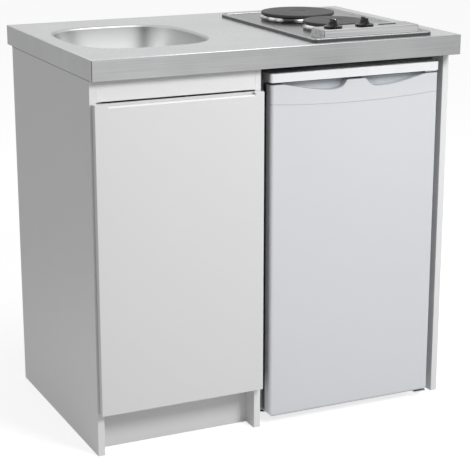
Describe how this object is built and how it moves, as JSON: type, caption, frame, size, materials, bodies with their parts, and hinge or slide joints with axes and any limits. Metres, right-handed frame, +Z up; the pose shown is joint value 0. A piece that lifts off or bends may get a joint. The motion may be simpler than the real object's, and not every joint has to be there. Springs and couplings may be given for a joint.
{
  "type": "kitchenette unit",
  "caption": "Compact kitchenette: stainless worktop with drawn-in sink bowl and hotplate hob over a sink cabinet with hinged door and an undercounter refrigerator.",
  "frame": {"origin": "on the floor, midway across the worktop and midway between its front edge and its wall edge", "axes": "+X to the viewer's right along the worktop, +Y from the front towards the wall, +Z up"},
  "size_m": [0.9, 0.6, 0.9335],
  "materials": {
    "stainless_sheet": "fine brushed",
    "bowl_steel": "satin",
    "chipboard": "raw",
    "melamine": "matt coated board",
    "zinc_steel": "zinc plated",
    "bright_steel": "polished",
    "seal_rubber": "matt",
    "waste_plastic": "satin",
    "clear_stop": "soft clear",
    "cast_plate": "dull dark grey",
    "knob_black": "satin black",
    "switch_plastic": "matt",
    "lamp_lens": "dark lens",
    "fridge_enamel": "cool white, semi gloss",
    "fridge_plastic": "cool white, semi gloss",
    "liner_plastic": "semi gloss",
    "foam": "rigid foam",
    "gasket_grey": "soft grey",
    "clear_plastic": "clear",
    "black_metal": "black",
    "dial_grey": "satin",
    "foot_black": "matt"
  },
  "bodies": {
    "carcass": {"worktop": "stainless_sheet", "worktop_core": "chipboard", "sink_bowl": "bowl_steel", "waste_flange": "bright_steel", "waste_seal": "seal_rubber", "waste_body": "waste_plastic", "waste_screw": "bright_steel", "trap_body": "waste_plastic", "trap_cup": "waste_plastic", "trap_nuts": "waste_plastic", "outlet_pipe": "waste_plastic", "left_panel": "melamine", "middle_panel": "melamine", "right_panel": "melamine", "bottom_panel": "melamine", "front_rail": "melamine", "back_rail": "melamine", "bay_rail": "melamine", "plinth": "melamine", "back_panel": "melamine", "worktop_brackets": "zinc_steel", "hinge_plates": "zinc_steel", "hinge_arms": "zinc_steel", "hob_plate": "stainless_sheet", "hob_underpan": "zinc_steel", "hotplate_large": "cast_plate", "hotplate_small": "cast_plate", "hotplate_rings": "bright_steel", "hob_switches": "switch_plastic", "hob_lamp": "lamp_lens", "hob_terminal_box": "switch_plastic", "fridge_cabinet": "fridge_enamel", "fridge_foam": "foam", "fridge_liner": "liner_plastic", "fridge_top": "fridge_plastic", "fridge_base": "zinc_steel", "fridge_feet": "foot_black", "compressor": "black_metal", "condenser_tube": "black_metal", "condenser_wires": "black_metal", "fridge_hinges": "zinc_steel", "icebox": "liner_plastic", "fridge_shelves": "clear_plastic", "crisper_cover": "clear_plastic", "thermostat_housing": "liner_plastic", "lamp_cover": "clear_plastic"},
    "sink_cabinet_door": {"sink_door": "melamine", "hinge_cups": "zinc_steel", "door_bumpers": "clear_stop"},
    "refrigerator_door": {"fridge_door_panel": "fridge_enamel", "fridge_door_foam": "foam", "fridge_door_grip": "fridge_plastic", "fridge_door_liner": "liner_plastic", "fridge_gasket": "gasket_grey", "door_racks": "liner_plastic"},
    "left_control": {"hob_knob_left": "knob_black"},
    "right_control": {"hob_knob_right": "knob_black"},
    "freezer_flap": {"icebox_flap": "clear_plastic"},
    "vegetable_bin": {"crisper": "clear_plastic"},
    "temperature_dial": {"thermostat_knob": "dial_grey"}
  },
  "joints": [
    {"name": "sink_door_hinge", "type": "hinge", "parent": "carcass", "child": "sink_cabinet_door", "pos_m": [-0.4385, -0.29, 0.4475], "axis": [0, 0, 1], "range_deg": [-98, 0]},
    {"name": "refrigerator_door_hinge", "type": "hinge", "parent": "carcass", "child": "refrigerator_door", "pos_m": [0.391, -0.265, 0.41], "axis": [0, 0, 1], "range_deg": [0, 105]},
    {"name": "left_control_turn", "type": "hinge", "parent": "carcass", "child": "left_control", "pos_m": [0.153, -0.229, 0.914], "axis": [0, 0, 1], "continuous": true},
    {"name": "right_control_turn", "type": "hinge", "parent": "carcass", "child": "right_control", "pos_m": [0.234, -0.229, 0.914], "axis": [0, 0, 1], "continuous": true},
    {"name": "freezer_flap_hinge", "type": "hinge", "parent": "carcass", "child": "freezer_flap", "pos_m": [0.189, -0.109, 0.766], "axis": [1, 0, 0], "range_deg": [-85, 0]},
    {"name": "vegetable_bin_slide", "type": "slide", "parent": "carcass", "child": "vegetable_bin", "axis": [0, -1, 0], "range_m": [0, 0.03]},
    {"name": "temperature_dial_turn", "type": "hinge", "parent": "carcass", "child": "temperature_dial", "pos_m": [0.353, -0.1, 0.6], "axis": [0, -1, 0], "range_deg": [0, 270]}
  ]
}
